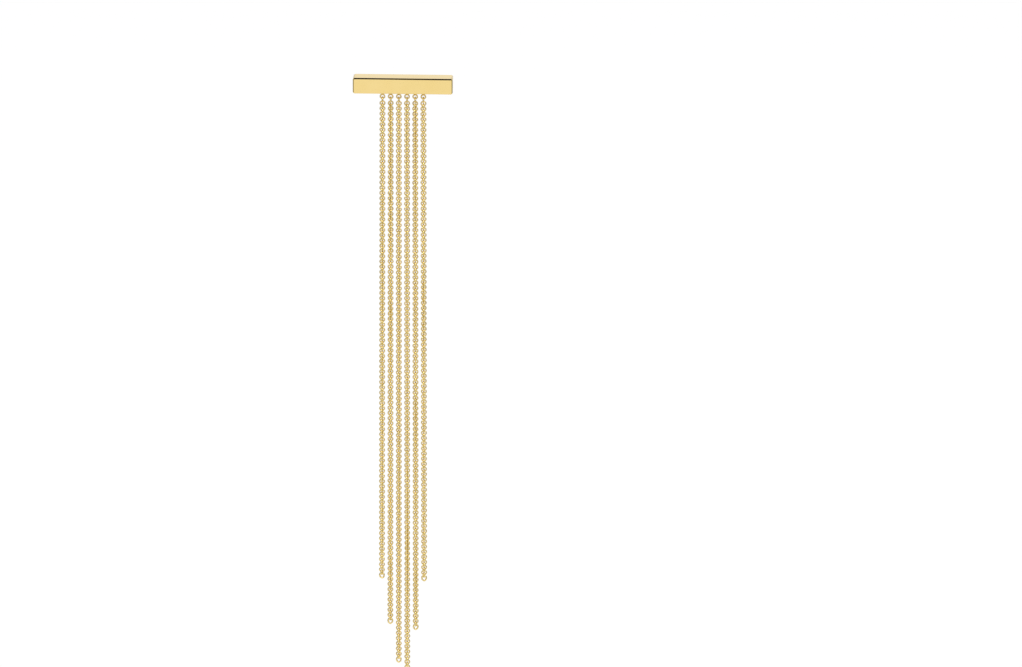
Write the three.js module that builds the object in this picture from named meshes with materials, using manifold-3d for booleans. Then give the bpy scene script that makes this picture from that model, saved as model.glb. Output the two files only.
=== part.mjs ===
// Bar and fringe drop earring, in millimetres, +Z up. The bar's front faces -Y and the ear post runs
// back along +Y. The origin is the middle of the post where it leaves the bar's back face.
import * as THREE from 'three';
import Module from 'manifold-3d';
import { mergeVertices } from 'three/addons/utils/BufferGeometryUtils.js';

const wasm = await Module();
wasm.setup();

// Bar: length along X, height along Z, depth along Y
const barLength = 19.2;
const barHeight = 3.1;
const barDepth = 3.5;
const barCornerRadius = 0.4;
const barEdgeRadius = 0.25;

// Ear post, soldered low on the back face so that the bar hides it from the front
const postDiameter = 0.75;
const postLength = 8;
const postAboveUnderside = 0.6;
const postRoot = 0.5;

// Rings soldered under the bar, one for each strand, with their holes facing the front
const ringHole = 0.54;
const ringWire = 0.28;
const ringSpacing = 1.574;
const ringSetback = 1.3;

// Solder neck that carries each ring
const neckHeight = 0.25;
const neckDiameter = 0.36;
const neckRoot = 0.2;

// Fine chain: round links that turn a quarter from one to the next
const linkHole = 0.64;
const linkWire = 0.28;

// The link that hooks through a soldered ring, seen edge-on from the front, and the last link
const joiningLinkHole = 0.82;
const hookClearance = 0.05;
const endLinkHole = 0.52;
const endLinkWire = 0.34;
const endLinkStretch = 0.26;

// How far the longest strand drops from the centre of its ring, each strand's share of that, left to
// right, and how far each strand leans outwards from its inner neighbour, in degrees
const longestDrop = 115.9;
const strandShares = [0.838, 0.918, 0.986, 1, 0.928, 0.842];
const strandFan = 0.041;

// Facets
const linkSides = 12;
const wireSides = 6;
const postSides = 16;
const tipSteps = 4;
const roundSteps = 3;
const tubeSides = 8;
const tubeStep = 2.6;

// Worked-out places; the tube starts at the top of the first link, which hangs in the joining link
const undersideZ = -postAboveUnderside;
const frontY = -barDepth;
const ringRadius = (ringHole + ringWire) / 2;
const ringZ = undersideZ - neckHeight - ringWire - ringHole / 2;
const ringY = frontY + ringSetback;
const ringHoleBottomZ = ringZ - ringHole / 2;
const joiningHoleTopZ = ringHoleBottomZ + hookClearance;
const joiningZ = joiningHoleTopZ - joiningLinkHole / 2;
const tubeTopZ = joiningZ - joiningLinkHole / 2 + linkWire;
const endLinkHeight = endLinkHole + endLinkStretch + 2 * endLinkWire;

const gold = new THREE.MeshStandardMaterial({ color: '#ecd296', roughness: 0.15, metalness: 1 });

// A closed geometry as a solid that can be joined
function solid(geometry) {
  const bare = geometry.clone();
  bare.deleteAttribute('normal');
  bare.deleteAttribute('uv');
  const merged = mergeVertices(bare, 1e-5);
  const vertProperties = new Float32Array(merged.attributes.position.array);
  const triVerts = new Uint32Array(merged.index.array);
  return new wasm.Manifold(new wasm.Mesh({ numProp: 3, vertProperties, triVerts }));
}

// All geometries joined into one closed geometry
function joined(geometries) {
  const whole = geometries.map(solid).reduce((sum, next) => sum.add(next));
  const mesh = whole.getMesh();
  const geometry = new THREE.BufferGeometry();
  geometry.setAttribute('position', new THREE.BufferAttribute(mesh.vertProperties, 3));
  geometry.setIndex(new THREE.BufferAttribute(mesh.triVerts, 1));
  const flat = geometry.toNonIndexed();
  flat.computeVertexNormals();
  return flat;
}

// The bar's outline from the front: a rectangle with rounded corners
function barOutline() {
  const right = barLength / 2;
  const top = barHeight / 2;
  const round = barCornerRadius;
  const outline = new THREE.Shape();
  outline.moveTo(round - right, -top);
  outline.lineTo(right - round, -top);
  outline.absarc(right - round, round - top, round, -Math.PI / 2, 0, false);
  outline.lineTo(right, top - round);
  outline.absarc(right - round, top - round, round, 0, Math.PI / 2, false);
  outline.lineTo(round - right, top);
  outline.absarc(round - right, top - round, round, Math.PI / 2, Math.PI, false);
  outline.lineTo(-right, round - top);
  outline.absarc(round - right, round - top, round, Math.PI, 1.5 * Math.PI, false);
  return outline;
}

// The bar, with its front and back edges eased
function barBody() {
  const body = new THREE.ExtrudeGeometry(barOutline(), {
    depth: barDepth - 2 * barEdgeRadius,
    curveSegments: roundSteps,
    bevelThickness: barEdgeRadius,
    bevelSize: barEdgeRadius,
    bevelOffset: -barEdgeRadius,
    bevelSegments: 2,
  });
  body.translate(0, 0, barEdgeRadius);
  body.rotateX(Math.PI / 2);
  body.translate(0, 0, undersideZ + barHeight / 2);
  return body;
}

// A round post with a domed tip, from inside the bar back along +Y
function earPost() {
  const radius = postDiameter / 2;
  const profile = [new THREE.Vector2(0, -postRoot), new THREE.Vector2(radius, -postRoot)];
  for (let step = 0; step < tipSteps; step += 1) {
    const angle = (step / tipSteps) * (Math.PI / 2);
    const out = radius * Math.cos(angle);
    profile.push(new THREE.Vector2(out, postLength - radius + radius * Math.sin(angle)));
  }
  profile.push(new THREE.Vector2(0, postLength));
  return new THREE.LatheGeometry(profile, postSides);
}

// A closed link facing the front, with its two halves drawn apart by stretch
function link(hole, wire, stretch) {
  const geometry = new THREE.TorusGeometry((hole + wire) / 2, wire / 2, wireSides, linkSides);
  const position = geometry.attributes.position;
  for (let index = 0; index < position.count; index += 1) {
    const y = position.getY(index);
    const side = Math.abs(y) < wire / 100 ? 0 : Math.sign(y);
    position.setY(index, y + (side * stretch) / 2);
  }
  geometry.rotateX(Math.PI / 2);
  return geometry;
}

// One ring and the solder neck that carries it
function solderedRing(x) {
  const ring = link(ringHole, ringWire, 0);
  ring.translate(x, ringY, ringZ);
  const neckTopZ = undersideZ + neckRoot;
  const neckBottomZ = ringZ + ringRadius;
  const neck = new THREE.CylinderGeometry(
    neckDiameter / 2,
    neckDiameter / 2,
    neckTopZ - neckBottomZ,
    tubeSides,
  );
  neck.rotateX(Math.PI / 2);
  neck.translate(x, ringY, (neckTopZ + neckBottomZ) / 2);
  return [ring, neck];
}

// The outer form of the chain between two points: links and gaps as one slim tube
function chainTube(top, bottom) {
  const section = new THREE.Shape();
  section.absarc(0, 0, linkHole / 2 + linkWire, 0, 2 * Math.PI, false);
  return new THREE.ExtrudeGeometry(section, {
    steps: Math.round(top.distanceTo(bottom) / tubeStep),
    curveSegments: tubeSides / 2,
    bevelEnabled: false,
    extrudePath: new THREE.LineCurve3(top, bottom),
  });
}

// One strand: joining link, chain and last link
function strand(x, drop, lean) {
  const joiningLink = link(joiningLinkHole, linkWire, 0);
  joiningLink.rotateZ(Math.PI / 2);
  joiningLink.translate(x, ringY, joiningZ);

  const bottomZ = ringZ - drop;
  const bottomX = x + drop * Math.tan(lean);
  const endLink = link(endLinkHole, endLinkWire, endLinkStretch);
  endLink.translate(bottomX, ringY, bottomZ + endLinkHeight / 2);

  const tubeBottomZ = bottomZ + endLinkHeight - endLinkWire - linkWire;
  const top = new THREE.Vector3(x, ringY, tubeTopZ);
  const bottom = new THREE.Vector3(bottomX, ringY, tubeBottomZ);
  return joined([joiningLink, chainTube(top, bottom), endLink]);
}

const earring = new THREE.Group();
const middle = (strandShares.length - 1) / 2;
const ringPlaces = strandShares.map((share, index) => (index - middle) * ringSpacing);

const bar = new THREE.Mesh(
  joined([barBody(), earPost(), ...ringPlaces.flatMap(solderedRing)]),
  gold,
);
bar.name = 'bar';
earring.add(bar);

strandShares.forEach((share, index) => {
  const lean = THREE.MathUtils.degToRad((index - middle) * strandFan);
  const chain = new THREE.Mesh(strand(ringPlaces[index], longestDrop * share, lean), gold);
  chain.name = `chain_${index + 1}`;
  earring.add(chain);
});

export default earring;
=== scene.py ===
import math
import random

import bmesh
import bpy
from mathutils import Matrix, Vector


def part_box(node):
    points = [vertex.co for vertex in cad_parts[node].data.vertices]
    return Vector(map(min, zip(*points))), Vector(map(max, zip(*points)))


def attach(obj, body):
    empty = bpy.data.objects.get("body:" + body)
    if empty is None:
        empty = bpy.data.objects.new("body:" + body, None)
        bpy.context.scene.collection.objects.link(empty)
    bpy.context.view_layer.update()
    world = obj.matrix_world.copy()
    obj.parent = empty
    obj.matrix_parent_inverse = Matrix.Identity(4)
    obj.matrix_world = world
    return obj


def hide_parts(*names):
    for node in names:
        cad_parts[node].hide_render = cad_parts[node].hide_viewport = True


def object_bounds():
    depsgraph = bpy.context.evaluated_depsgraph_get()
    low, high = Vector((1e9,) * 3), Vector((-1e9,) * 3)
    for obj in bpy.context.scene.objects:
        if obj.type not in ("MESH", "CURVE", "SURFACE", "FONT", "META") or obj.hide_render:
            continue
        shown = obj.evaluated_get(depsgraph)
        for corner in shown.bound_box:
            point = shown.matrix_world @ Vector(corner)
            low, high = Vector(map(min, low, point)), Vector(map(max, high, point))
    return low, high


# A bar and fringe drop earring in polished gold plate. Lengths are metres: the bar's front faces
# -Y, the ear post runs back along +Y, and the chains hang down -Z.
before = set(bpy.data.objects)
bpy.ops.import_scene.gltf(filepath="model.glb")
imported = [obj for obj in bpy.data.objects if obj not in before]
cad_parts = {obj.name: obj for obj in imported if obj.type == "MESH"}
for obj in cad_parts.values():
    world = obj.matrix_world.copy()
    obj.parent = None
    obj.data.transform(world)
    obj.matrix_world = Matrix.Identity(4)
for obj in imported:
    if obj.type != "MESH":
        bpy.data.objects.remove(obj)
cadBounds = [list(corner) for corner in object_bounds()]
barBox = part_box("bar")
mm = 0.001

# Points nearer to each other than this are one
mergeDistance = 0.0001 * mm

# Most values of a noise texture lie between these two
noiseLow = 0.3
noiseHigh = 0.7


# Helpers
def toLinear(hexColour):
    parts = [int(hexColour[i:i + 2], 16) / 255 for i in (1, 3, 5)]
    return tuple(c / 12.92 if c <= 0.04045 else ((c + 0.055) / 1.055) ** 2.4 for c in parts) + (1,)


def emptyTree(owner):
    owner.use_nodes = True
    owner.node_tree.nodes.clear()
    return owner.node_tree


def addNode(tree, kind, inputs=None, **settings):
    node = tree.nodes.new(kind)
    for name, value in settings.items():
        setattr(node, name, value)
    for name, value in (inputs or {}).items():
        if isinstance(value, bpy.types.NodeSocket):
            tree.links.new(value, node.inputs[name])
        else:
            node.inputs[name].default_value = value
    return node


# How far a point of the piece lies to the left or right of the middle
def distanceAside(tree):
    place = addNode(tree, "ShaderNodeTexCoord").outputs["Object"]
    parts = addNode(tree, "ShaderNodeSeparateXYZ", {"Vector": place})
    aside = addNode(tree, "ShaderNodeMath", {0: parts.outputs["X"]}, operation="ABSOLUTE")
    return aside.outputs[0]


def addObject(name, bm, material, smooth=True):
    mesh = bpy.data.meshes.new(name)
    bm.to_mesh(mesh)
    bm.free()
    for polygon in mesh.polygons:
        polygon.use_smooth = smooth
    mesh.materials.append(material)
    piece = bpy.data.objects.new(name, mesh)
    bpy.context.collection.objects.link(piece)
    return piece


# A full turn of some edges, closed into a clean shell whose faces point outwards
def spinRound(bm, geom, axis, steps):
    bmesh.ops.spin(
        bm, geom=geom, cent=(0, 0, 0), axis=axis, angle=2 * math.pi, steps=steps, use_merge=True,
    )
    bmesh.ops.remove_doubles(bm, verts=bm.verts, dist=mergeDistance)
    bmesh.ops.recalc_face_normals(bm, faces=bm.faces)


def spinProfile(bm, points, axis, steps):
    made = [bm.verts.new(point) for point in points]
    edges = [bm.edges.new(pair) for pair in zip(made, made[1:])]
    spinRound(bm, made + edges, axis, steps)


# Camera: in front of the bar, a little to its right and above, with a long lens. The middle of the
# bar's front shows so many pixels left of the picture's middle and above it.
cameraView = {
    "lens": 400,
    "sensor": 36,
    "imageWidth": 1022,
    "distance": 2.1815,
    "nearest": 0.05,
    "farthest": 20,
    "pitch": math.radians(14.9),
    "yaw": math.radians(2.7),
    "roll": math.radians(0.147),
    "barLeftOfMiddle": 107.7,
    "barAboveMiddle": 247.05,
}


def addCamera():
    view = cameraView
    data = bpy.data.cameras.new("camera")
    data.lens = view["lens"]
    data.sensor_width = view["sensor"]
    data.clip_start = view["nearest"]
    data.clip_end = view["farthest"]
    camera = bpy.data.objects.new("camera", data)
    bpy.context.collection.objects.link(camera)
    barFront = Vector((0, barBox[0].y, barBox[1].z - bar["height"] / 2))
    towards = Vector((
        math.sin(view["yaw"]) * math.cos(view["pitch"]),
        -math.cos(view["yaw"]) * math.cos(view["pitch"]),
        math.sin(view["pitch"]),
    ))
    camera.location = barFront + towards * view["distance"]
    perPixel = view["sensor"] / view["lens"] / view["imageWidth"]
    left = view["barLeftOfMiddle"] + view["barAboveMiddle"] * math.sin(view["roll"])
    above = view["barAboveMiddle"] - view["barLeftOfMiddle"] * math.sin(view["roll"])
    pitch = view["pitch"] + above * perPixel
    yaw = view["yaw"] - left * perPixel / math.cos(pitch)
    aimed = Matrix.Rotation(yaw, 3, "Z") @ Matrix.Rotation(math.pi / 2 - pitch, 3, "X")
    camera.rotation_euler = (aimed @ Matrix.Rotation(view["roll"], 3, "Z")).to_euler()
    bpy.context.scene.camera = camera


# Gold plate on the bar; real hairlines are finer than this and wouldn't show even close up
goldPlate = {
    "colour": "#F0D795",
    "deepColour": "#EBCF88",
    "smoothest": 0.05,
    "roughest": 0.11,
    "cloudSize": 4 * mm,
    "hairlineWidth": 0.03 * mm,
    "hairlineLength": 1.5 * mm,
    "hairlineDepth": 0.0004 * mm,
    "hairlineStrength": 0.4,
}


# 18 carat gold plate over buffed brass: a pale yellow mirror, with hairlines left along the bar by
# the buffing wheel that only show close up, and a soft cloudiness where it has been handled
def barGold():
    material = bpy.data.materials.new("polished gold plate")
    tree = emptyTree(material)
    place = addNode(tree, "ShaderNodeTexCoord").outputs["Object"]
    clouds = addNode(tree, "ShaderNodeTexNoise", {
        "Vector": place,
        "Scale": 1 / goldPlate["cloudSize"],
        "Detail": 2.0,
        "Roughness": 0.5,
    })
    colour = addNode(tree, "ShaderNodeMix", {
        "Factor": clouds.outputs["Fac"],
        "A": toLinear(goldPlate["colour"]),
        "B": toLinear(goldPlate["deepColour"]),
    }, data_type="RGBA")
    roughness = addNode(tree, "ShaderNodeMapRange", {
        "Value": clouds.outputs["Fac"],
        "From Min": noiseLow,
        "From Max": noiseHigh,
        "To Min": goldPlate["smoothest"],
        "To Max": goldPlate["roughest"],
    })
    stretched = addNode(tree, "ShaderNodeMapping", {
        "Vector": place,
        "Scale": (
            1 / goldPlate["hairlineLength"],
            1 / goldPlate["hairlineWidth"],
            1 / goldPlate["hairlineWidth"],
        ),
    })
    hairlines = addNode(tree, "ShaderNodeTexNoise", {
        "Vector": stretched.outputs["Vector"],
        "Scale": 1.0,
        "Detail": 3.0,
    })
    bump = addNode(tree, "ShaderNodeBump", {
        "Strength": goldPlate["hairlineStrength"],
        "Distance": goldPlate["hairlineDepth"],
        "Height": hairlines.outputs["Fac"],
    })
    shader = addNode(tree, "ShaderNodeBsdfPrincipled", {
        "Base Color": colour.outputs["Result"],
        "Metallic": 1.0,
        "Roughness": roughness.outputs["Result"],
        "Normal": bump.outputs["Normal"],
    })
    addNode(tree, "ShaderNodeOutputMaterial", {"Surface": shader.outputs["BSDF"]})
    return material


# Gold plate on the wire
chainPlate = {
    "colour": "#F4DE9A",
    "deepColour": "#E8D089",
    "smoothest": 0.30,
    "roughest": 0.38,
    "patchSize": 0.5 * mm,
}


# 18 carat gold plate over drawn brass wire, tumbled smooth: softer than the bar, so each link is
# bright all round, and a touch deeper where the barrel left it, link by link
def wireGold():
    material = bpy.data.materials.new("tumbled gold plated wire")
    tree = emptyTree(material)
    place = addNode(tree, "ShaderNodeTexCoord").outputs["Object"]
    patches = addNode(tree, "ShaderNodeTexNoise", {
        "Vector": place,
        "Scale": 1 / chainPlate["patchSize"],
        "Detail": 2.0,
    })
    colour = addNode(tree, "ShaderNodeMix", {
        "Factor": patches.outputs["Fac"],
        "A": toLinear(chainPlate["colour"]),
        "B": toLinear(chainPlate["deepColour"]),
    }, data_type="RGBA")
    roughness = addNode(tree, "ShaderNodeMapRange", {
        "Value": patches.outputs["Fac"],
        "From Min": noiseLow,
        "From Max": noiseHigh,
        "To Min": chainPlate["smoothest"],
        "To Max": chainPlate["roughest"],
    })
    shader = addNode(tree, "ShaderNodeBsdfPrincipled", {
        "Base Color": colour.outputs["Result"],
        "Metallic": 1.0,
        "Roughness": roughness.outputs["Result"],
    })
    addNode(tree, "ShaderNodeOutputMaterial", {"Surface": shader.outputs["BSDF"]})
    return material


polished = barGold()
tumbled = wireGold()


# Bar: its length and depth come from the frame
bar = {
    "height": 3.1 * mm,
    "cornerRadius": 0.4 * mm,
    "edgeRadius": 0.25 * mm,
    "cornerSegments": 8,
    "edgeSegments": 6,
}


def addBar():
    width = barBox[1].x - barBox[0].x
    depth = -barBox[0].y
    bm = bmesh.new()
    bmesh.ops.create_cube(bm, size=1)
    bmesh.ops.scale(bm, vec=(width, depth, bar["height"]), verts=bm.verts)
    middle = Vector((0, -depth / 2, barBox[1].z - bar["height"] / 2))
    bmesh.ops.translate(bm, vec=middle, verts=bm.verts)

    def runsBack(edge):
        return abs(edge.verts[0].co.y - edge.verts[1].co.y) > depth / 2

    bmesh.ops.bevel(
        bm, geom=[e for e in bm.edges if runsBack(e)], affect="EDGES", offset=bar["cornerRadius"],
        segments=bar["cornerSegments"], profile=0.5, material=-1,
    )
    bmesh.ops.bevel(
        bm, geom=[e for e in bm.edges if not runsBack(e)], affect="EDGES", offset=bar["edgeRadius"],
        segments=bar["edgeSegments"], profile=0.5, material=-1,
    )
    piece = addObject("bar_body", bm, polished)
    weighted = piece.modifiers.new("flats stay flat", "WEIGHTED_NORMAL")
    weighted.weight = 100
    return piece


# Ear post: a plain round wire with a domed tip, soldered to the bar's back with a small fillet
post = {
    "radius": 0.375 * mm,
    "root": 0.1 * mm,
    "solderReach": 0.16 * mm,
    "solderSteps": 4,
    "domeSteps": 8,
    "sides": 32,
}


def addPost():
    length = barBox[1].y
    radius = post["radius"]
    reach = post["solderReach"]
    profile = [Vector((0, -post["root"], 0)), Vector((radius + reach, -post["root"], 0))]
    for step in range(post["solderSteps"] + 1):
        turn = math.pi / 2 * step / post["solderSteps"]
        out = radius + reach * (1 - math.sin(turn))
        profile.append(Vector((out, reach * (1 - math.cos(turn)), 0)))
    for step in range(post["domeSteps"] + 1):
        turn = math.pi / 2 * step / post["domeSteps"]
        back = length - radius + radius * math.sin(turn)
        profile.append(Vector((radius * math.cos(turn), back, 0)))
    profile[-1].x = 0
    bm = bmesh.new()
    spinProfile(bm, profile, (0, 1, 0), post["sides"])
    return addObject("ear_post", bm, polished)


# Rings soldered under the bar, each on a small neck of solder that is narrowest half way down
ring = {
    "hole": 0.54 * mm,
    "wire": 0.28 * mm,
    "spacing": 1.574 * mm,
    "setback": 1.3 * mm,
    "sides": 36,
    "wireSides": 12,
    "neckHeight": 0.25 * mm,
    "neckWaist": 0.13 * mm,
    "neckEnd": 0.28 * mm,
    "neckSteps": 8,
    "neckSides": 24,
}


# A link facing the front. Stretch draws its upper and lower halves apart, and band is the width of
# its wire along its axis, where that isn't round.
def addLink(bm, hole, wire, sides, wireSides, stretch=0.0, band=0.0):
    circle = bmesh.ops.create_circle(bm, cap_ends=False, radius=wire / 2, segments=wireSides)
    section = circle["verts"]
    if band:
        bmesh.ops.scale(bm, vec=(1, band / wire, 1), verts=section)
    bmesh.ops.translate(bm, vec=((hole + wire) / 2, 0, 0), verts=section)
    edges = list({edge for vert in section for edge in vert.link_edges})
    spinRound(bm, section + edges, (0, 1, 0), sides)
    onMiddle = wire / 100
    for side in (-1, 1):
        half = [vert for vert in bm.verts if vert.co.z * side > onMiddle]
        bmesh.ops.translate(bm, vec=(0, 0, side * stretch / 2), verts=half)


def addSolderedRing(index, x):
    underside = barBox[1].z - bar["height"]
    y = barBox[0].y + ring["setback"]
    outer = ring["hole"] / 2 + ring["wire"]
    bm = bmesh.new()
    addLink(bm, ring["hole"], ring["wire"], ring["sides"], ring["wireSides"])
    bmesh.ops.translate(bm, vec=(x, y, underside - ring["neckHeight"] - outer), verts=bm.verts)

    # The neck starts inside the bar and ends inside the ring's wire
    sink = ring["wire"] / 2
    drop = ring["neckHeight"] + sink
    waist, end = ring["neckWaist"], ring["neckEnd"]
    profile = [Vector((0, 0, underside + sink)), Vector((end, 0, underside + sink))]
    for step in range(ring["neckSteps"] + 1):
        share = step / ring["neckSteps"]
        out = waist + (end - waist) * (2 * share - 1) ** 2
        profile.append(Vector((out, 0, underside - drop * share)))
    profile.append(Vector((0, 0, underside - drop)))
    neck = bmesh.new()
    spinProfile(neck, profile, (0, 0, 1), ring["neckSides"])
    bmesh.ops.translate(neck, vec=(x, y, 0), verts=neck.verts)
    neckMesh = bpy.data.meshes.new("neck")
    neck.to_mesh(neckMesh)
    neck.free()
    bm.from_mesh(neckMesh)
    bpy.data.meshes.remove(neckMesh)
    return addObject(f"soldered_ring_{index + 1}", bm, tumbled)


# Chain: round links of slightly oval wire that turn a quarter from one to the next. The pitch is
# shorter than a link's hole, so links that face the same way overlap a little behind the link
# between them. Swings, jitters and twists are degrees.
chain = {
    "hole": 0.64 * mm,
    "stretch": -0.05 * mm,
    "wire": 0.28 * mm,
    "band": 0.34 * mm,
    "pitch": 0.527 * mm,
    "joiningHole": 0.82 * mm,
    "endHole": 0.52 * mm,
    "endWire": 0.34 * mm,
    "endStretch": 0.08 * mm,
    "endPoint": 0.10 * mm,
    "endSwings": (7, 0, 0, 0, -2, 3),
    "sides": 12,
    "wireSides": 6,
    "turnJitter": 5,
    "tiltJitter": 2,
    "seed": 11,
}

# How far each strand has turned about its own length, at shares of the way down
strandTwists = [
    [(0, 8), (0.3, -8), (0.6, -4), (0.8, -8), (1, -3)],
    [
        (0, 20), (0.14, 17), (0.25, 20), (0.4, -16), (0.5, -7), (0.65, 5), (0.8, 12), (0.9, -12),
        (1, -5),
    ],
    [(0, 0), (0.4, -8), (0.5, -5), (0.75, -9), (1, -3)],
    [(0, 15), (0.25, 8), (0.5, 0), (0.7, -8), (0.78, -20), (0.86, -8), (1, 5)],
    [
        (0, -15), (0.2, -8), (0.4, 14), (0.5, 6), (0.62, -16), (0.72, 14), (0.8, 6), (0.9, -14),
        (1, -4),
    ],
    [(0, 0), (0.3, 5), (0.42, 18), (0.6, 8), (1, 3)],
]


def twistAt(twists, share):
    for (startShare, startTurn), (endShare, endTurn) in zip(twists, twists[1:]):
        if share <= endShare:
            part = (share - startShare) / (endShare - startShare)
            eased = part * part * (3 - 2 * part)
            return startTurn + (endTurn - startTurn) * eased
    return twists[-1][1]


# Point is how far the seam at the foot of a link is drawn out downwards
def linkMesh(hole, wire, stretch=0.0, point=0.0, band=0.0):
    bm = bmesh.new()
    addLink(bm, hole, wire, chain["sides"], chain["wireSides"], stretch, band)
    reach = hole / 2 + wire
    for vert in bm.verts:
        if vert.co.z < 0:
            vert.co.z -= point * max(0, 1 - abs(vert.co.x) / reach) ** 2
    mesh = bpy.data.meshes.new("link")
    bm.to_mesh(mesh)
    bm.free()
    return mesh


def addChain(index, x, links, draw):
    low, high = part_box(f"chain_{index + 1}")
    y = barBox[0].y + ring["setback"]
    joiningZ = high.z - chain["joiningHole"] / 2 - chain["wire"]
    endReach = (chain["endHole"] + chain["endStretch"]) / 2
    endZ = low.z + chain["endPoint"] + endReach + chain["endWire"]
    length = chain["hole"] + chain["stretch"]
    firstZ = joiningZ - chain["joiningHole"] / 2 - length / 2
    lastZ = endZ + endReach + length / 2

    # An even number of links, so that the end link faces the front as the first one does
    count = 2 * round((firstZ - lastZ) / chain["pitch"] / 2 + 0.5)
    pitch = (firstZ - lastZ) / (count - 1)
    outwards = 1 if x > 0 else -1
    outerEdge = high.x if x > 0 else low.x
    endX = outerEdge - outwards * (chain["endHole"] / 2 + chain["endWire"])
    lean = (endX - x) / (joiningZ - endZ)

    bm = bmesh.new()

    def place(mesh, z, turn, tilt=0.0, swing=0.0):
        start = len(bm.verts)
        bm.from_mesh(mesh)
        bm.verts.ensure_lookup_table()
        spot = Matrix.Translation((x + lean * (joiningZ - z), y, z))
        swung = Matrix.Rotation(math.radians(-swing), 4, "Y")
        turned = Matrix.Rotation(math.radians(turn), 4, "Z")
        tilted = Matrix.Rotation(math.radians(tilt), 4, "X")
        bmesh.ops.transform(bm, matrix=spot @ swung @ turned @ tilted, verts=bm.verts[start:])

    place(links["joining"], joiningZ, 90)
    for number in range(count):
        share = (number + 1) / (count + 1)
        turn = twistAt(strandTwists[index], share) + 90 * (number % 2)
        turn += draw.uniform(-1, 1) * chain["turnJitter"]
        tilt = draw.uniform(-1, 1) * chain["tiltJitter"]
        place(links["regular"], firstZ - number * pitch, turn, tilt)
    place(links["end"], endZ, strandTwists[index][-1][1], swing=chain["endSwings"][index])
    return addObject(f"chain_{index + 1}_links", bm, tumbled), count


# World: a white tent round the earring, a little dimmer overhead and at both sides. The edges are
# parts of a direction that point up or aside, 1 being straight up or square to the side.
tent = {
    "white": "#FFFFFF",
    "topEdge": 0.30,
    "topDim": 0.48,
    "overhead": 0.85,
    "sideEdge": 0.75,
    "sideDim": 0.98,
    "sides": 0.6,
}


def addWorld():
    world = bpy.data.worlds.new("white tent")
    bpy.context.scene.world = world
    tree = emptyTree(world)
    direction = addNode(tree, "ShaderNodeTexCoord").outputs["Generated"]
    parts = addNode(tree, "ShaderNodeSeparateXYZ", {"Vector": direction})
    top = addNode(tree, "ShaderNodeMapRange", {
        "Value": parts.outputs["Z"],
        "From Min": tent["topEdge"],
        "From Max": tent["topDim"],
        "To Min": 1.0,
        "To Max": tent["overhead"],
    }, interpolation_type="SMOOTHSTEP")
    aside = addNode(tree, "ShaderNodeMath", {0: parts.outputs["X"]}, operation="ABSOLUTE")
    side = addNode(tree, "ShaderNodeMapRange", {
        "Value": aside.outputs[0],
        "From Min": tent["sideEdge"],
        "From Max": tent["sideDim"],
        "To Min": 1.0,
        "To Max": tent["sides"],
    }, interpolation_type="SMOOTHSTEP")
    strength = addNode(tree, "ShaderNodeMath", {
        0: top.outputs["Result"],
        1: side.outputs["Result"],
    }, operation="MULTIPLY")
    background = addNode(tree, "ShaderNodeBackground", {
        "Color": toLinear(tent["white"]),
        "Strength": strength.outputs[0],
    })
    addNode(tree, "ShaderNodeOutputWorld", {"Surface": background.outputs["Background"]})


# Floor: a sheet of matt paper, lit evenly from within so that it looks as white as the tent, and a
# little dimmer far out at both sides. Its own colour is a grey, so that the softboxes leave no
# bright patch on it.
floor = {
    "paper": "#7F7F7F",
    "roughness": 0.9,
    "light": "#FFFFFF",
    "glow": 0.76,
    "brightAside": 0.6,
    "dimAside": 1.4,
    "dimShare": 0.8,
    "radius": 3.0,
    "drop": 0.085,
    "sides": 96,
}
floorZ = cadBounds[0][2] - floor["drop"]


def addFloor():
    bm = bmesh.new()
    bmesh.ops.create_circle(
        bm, cap_ends=True, radius=floor["radius"], segments=floor["sides"],
    )
    bmesh.ops.translate(bm, vec=(0, 0, floorZ), verts=bm.verts)
    material = bpy.data.materials.new("matt white paper")
    tree = emptyTree(material)
    glow = addNode(tree, "ShaderNodeMapRange", {
        "Value": distanceAside(tree),
        "From Min": floor["brightAside"],
        "From Max": floor["dimAside"],
        "To Min": floor["glow"],
        "To Max": floor["glow"] * floor["dimShare"],
    }, interpolation_type="SMOOTHSTEP")
    shader = addNode(tree, "ShaderNodeBsdfPrincipled", {
        "Base Color": toLinear(floor["paper"]),
        "Roughness": floor["roughness"],
        "Emission Color": toLinear(floor["light"]),
        "Emission Strength": glow.outputs["Result"],
    })
    addNode(tree, "ShaderNodeOutputMaterial", {"Surface": shader.outputs["BSDF"]})
    addObject("floor", bm, material, smooth=False)


# Cards seen only in what the metal mirrors: a grey one curved round each side, darkest square to
# the side, and a small black arch close round the bar's top front edge, which gives that edge its
# dark line. Angles are degrees from the front.
cards = {
    "radius": 0.28,
    "frontAngle": 20,
    "backAngle": 170,
    "aboveFloor": 1 * mm,
    "rise": 0.12,
    "white": "#FFFFFF",
    "light": 0.80,
    "lightShare": 0.3,
    "dark": 0.22,
    "steps": 24,
}
arch = {
    "radius": 0.45 * mm,
    "frontAngle": 4,
    "backAngle": 130,
    "black": 0.015,
}


# Card of one darkness, or one that goes from light near the middle to dark at the side
def cardPaper(name, dark, light=None):
    material = bpy.data.materials.new(name)
    tree = emptyTree(material)
    strength = dark
    if light is not None:
        shade = addNode(tree, "ShaderNodeMapRange", {
            "Value": distanceAside(tree),
            "From Min": cards["radius"] * cards["lightShare"],
            "From Max": cards["radius"],
            "To Min": light,
            "To Max": dark,
        })
        strength = shade.outputs["Result"]
    glow = addNode(tree, "ShaderNodeEmission", {
        "Color": toLinear(cards["white"]),
        "Strength": strength,
    })
    addNode(tree, "ShaderNodeOutputMaterial", {"Surface": glow.outputs["Emission"]})
    return material


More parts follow.
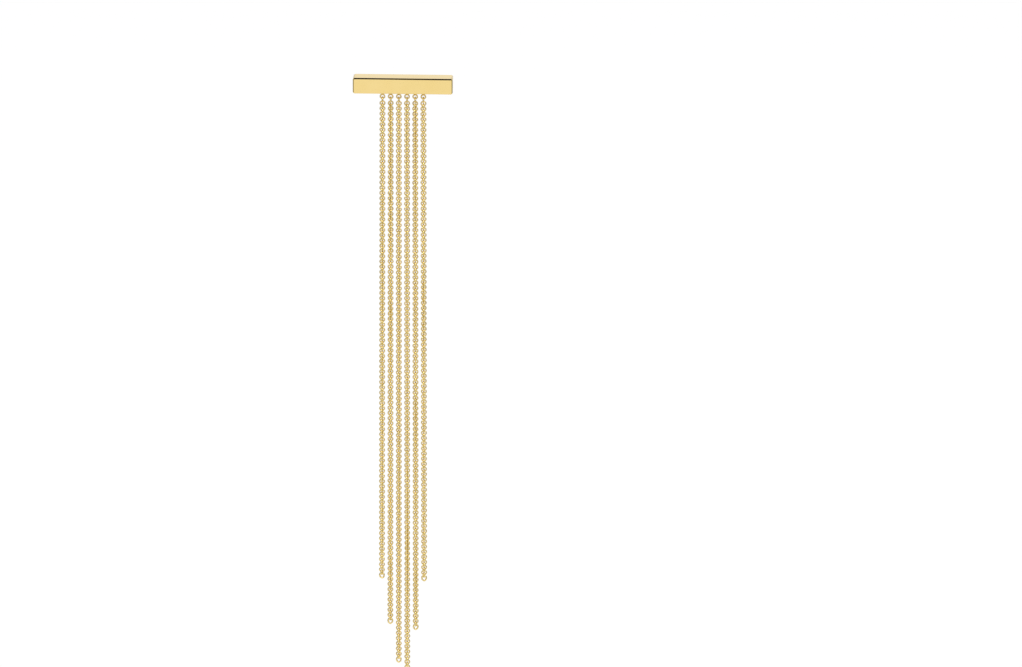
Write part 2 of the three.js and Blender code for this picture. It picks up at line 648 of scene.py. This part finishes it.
def addCard(name, ends, centre, axis, angles, material):
    fromAngle, toAngle = angles
    bm = bmesh.new()
    made = [bm.verts.new(end) for end in ends]
    edge = bm.edges.new(made)
    start = Matrix.Rotation(math.radians(fromAngle), 3, axis)
    bmesh.ops.rotate(bm, cent=centre, matrix=start, verts=made)
    bmesh.ops.spin(
        bm, geom=made + [edge], cent=centre, axis=axis, steps=cards["steps"],
        angle=math.radians(toAngle - fromAngle),
    )
    card = addObject(name, bm, material)
    card.visible_camera = False
    card.visible_diffuse = False
    card.visible_shadow = False


def addCards():
    bottom = floorZ + cards["aboveFloor"]
    top = cadBounds[1][2] + cards["rise"]
    grey = cardPaper("grey card", cards["dark"], cards["light"])
    angles = (cards["frontAngle"], cards["backAngle"])
    ends = [Vector((0, -cards["radius"], z)) for z in (bottom, top)]
    for name, side in (("left_card", -1), ("right_card", 1)):
        addCard(name, ends, Vector((0, 0, 0)), Vector((0, 0, side)), angles, grey)

    black = cardPaper("black card", arch["black"])
    angles = (arch["frontAngle"], arch["backAngle"])
    centre = Vector((0, barBox[0].y + bar["edgeRadius"], barBox[1].z - bar["edgeRadius"]))
    ends = [centre + Vector((x, -arch["radius"], 0)) for x in (barBox[0].x, barBox[1].x)]
    addCard("arch_card", ends, centre, Vector((-1, 0, 0)), angles, black)


# Softboxes: one each side at the front, above the bar, aimed at the earring
softboxes = [
    {"name": "left softbox", "spot": (-0.55, -0.6, 1.1), "size": 0.5, "power": 5.0},
    {"name": "right softbox", "spot": (0.6, -0.65, 1.0), "size": 0.5, "power": 4.0},
]


def addSoftboxes():
    target = (Vector(cadBounds[0]) + Vector(cadBounds[1])) / 2
    for box in softboxes:
        data = bpy.data.lights.new(box["name"], "AREA")
        data.shape = "SQUARE"
        data.size = box["size"]
        data.energy = box["power"]
        light = bpy.data.objects.new(box["name"], data)
        light.location = box["spot"]
        light.rotation_euler = (target - light.location).to_track_quat("-Z", "Y").to_euler()
        bpy.context.collection.objects.link(light)


addCamera()
print("camera placed")

addWorld()
addFloor()
addCards()
addSoftboxes()
bpy.context.scene.view_settings.view_transform = "Standard"
print("stage and lights placed")

middle = (len(strandTwists) - 1) / 2
strandPlaces = [(index - middle) * ring["spacing"] for index in range(len(strandTwists))]
barPieces = [addBar(), addPost()]
for index, x in enumerate(strandPlaces):
    barPieces.append(addSolderedRing(index, x))
for piece in barPieces:
    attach(piece, "root")
    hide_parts("bar")
print("bar, post and soldered rings made")

links = {
    "regular": linkMesh(chain["hole"], chain["wire"], chain["stretch"], band=chain["band"]),
    "joining": linkMesh(chain["joiningHole"], chain["wire"]),
    "end": linkMesh(chain["endHole"], chain["endWire"], chain["endStretch"], chain["endPoint"]),
}
draw = random.Random(chain["seed"])
for index, x in enumerate(strandPlaces):
    piece, count = addChain(index, x, links, draw)
    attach(piece, "root")
    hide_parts(f"chain_{index + 1}")
    print("strand", index + 1, "has", count, "links between its joining link and its last")
for mesh in links.values():
    bpy.data.meshes.remove(mesh)
